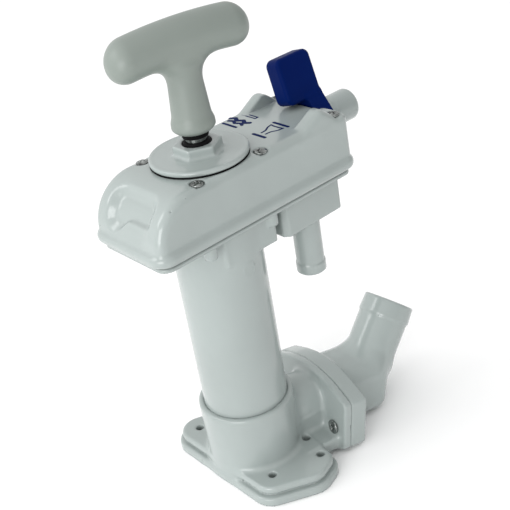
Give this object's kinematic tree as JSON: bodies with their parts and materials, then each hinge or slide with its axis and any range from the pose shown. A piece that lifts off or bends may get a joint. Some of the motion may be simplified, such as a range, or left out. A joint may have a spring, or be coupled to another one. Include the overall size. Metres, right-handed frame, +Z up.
{
  "type": "marine hand pump",
  "caption": "Upright double-acting marine hand pump with a tee handle, a long valve cover with a flush lever, small hose tails, a bolted base and an elbowed discharge tail.",
  "frame": {"origin": "on the cylinder's axis, at the underside of the base, in the mouth of the intake port", "axes": "+Z up along the cylinder towards the handle, +Y to the rear where the lever and the outlet tail are, +X to the side the discharge turns towards"},
  "size_m": [0.1274, 0.2213, 0.3342],
  "materials": {
    "white_plastic": "glossy moulded",
    "handle_plastic": "satin moulded",
    "blue_plastic": "satin moulded",
    "stainless": "polished",
    "black_rubber": "matte",
    "valve_weight": "turned",
    "acetal": "matte"
  },
  "bodies": {
    "pump": {"base_casting": "white_plastic", "cylinder_seal": "black_rubber", "lower_valve_gasket": "black_rubber", "pump_cylinder": "white_plastic", "stem_seal": "black_rubber", "upper_valve_gasket": "black_rubber", "valve_cover": "white_plastic", "cover_screws": "stainless", "seal_housing": "white_plastic", "housing_seal": "black_rubber", "rod_bush": "acetal", "rod_seal": "black_rubber", "valve_spring": "stainless", "discharge_elbow": "white_plastic", "elbow_screws": "stainless", "elbow_washers": "stainless", "elbow_nuts": "stainless", "joker_valve": "black_rubber"},
    "piston": {"piston": "acetal", "piston_ring": "black_rubber"},
    "rod": {"piston_rod": "stainless", "piston_washer": "stainless", "piston_nut": "stainless", "handle_bumper": "black_rubber", "handle": "handle_plastic"},
    "lever": {"flush_lever": "blue_plastic", "lever_pin": "stainless", "lever_cam": "acetal"},
    "bypass_valve": {"bypass_stem": "stainless", "bypass_poppet": "black_rubber"},
    "lower_valve": {"lower_flap": "black_rubber", "lower_flap_weight": "valve_weight"},
    "inlet_valve": {"inlet_flap": "black_rubber", "inlet_flap_weight": "valve_weight"},
    "outlet_valve": {"outlet_flap": "black_rubber", "outlet_flap_weight": "valve_weight"}
  },
  "joints": [
    {"name": "pump_stroke", "type": "slide", "parent": "pump", "child": "piston", "axis": [0, 0, 1], "range_m": [0, 0.112]},
    {"name": "handle_turn", "type": "hinge", "parent": "piston", "child": "rod", "pos_m": [0, 0, 0.0599], "axis": [0, 0, 1], "continuous": true},
    {"name": "lever_swing", "type": "hinge", "parent": "pump", "child": "lever", "pos_m": [0, 0.098, 0.235], "axis": [0, 1, 0], "range_deg": [0, 30]},
    {"name": "bypass_push", "type": "slide", "parent": "pump", "child": "bypass_valve", "axis": [0, 0, -1], "range_m": [0, 0.0031], "deforming": ["valve_spring"]},
    {"name": "lower_valve_lift", "type": "hinge", "parent": "pump", "child": "lower_valve", "pos_m": [-0.0195, 0, 0.00925], "axis": [0, -1, 0], "range_deg": [0, 35]},
    {"name": "inlet_valve_lift", "type": "hinge", "parent": "pump", "child": "inlet_valve", "pos_m": [0.0256, 0.053, 0.20405], "axis": [0, 1, 0], "range_deg": [0, 40]},
    {"name": "outlet_valve_lift", "type": "hinge", "parent": "pump", "child": "outlet_valve", "pos_m": [-0.0256, 0.053, 0.20405], "axis": [0, -1, 0], "range_deg": [0, 40]}
  ],
  "couplings": [
    {"joint": "bypass_push", "follows": "lever_swing", "m_per_rad": 0.00573}
  ]
}
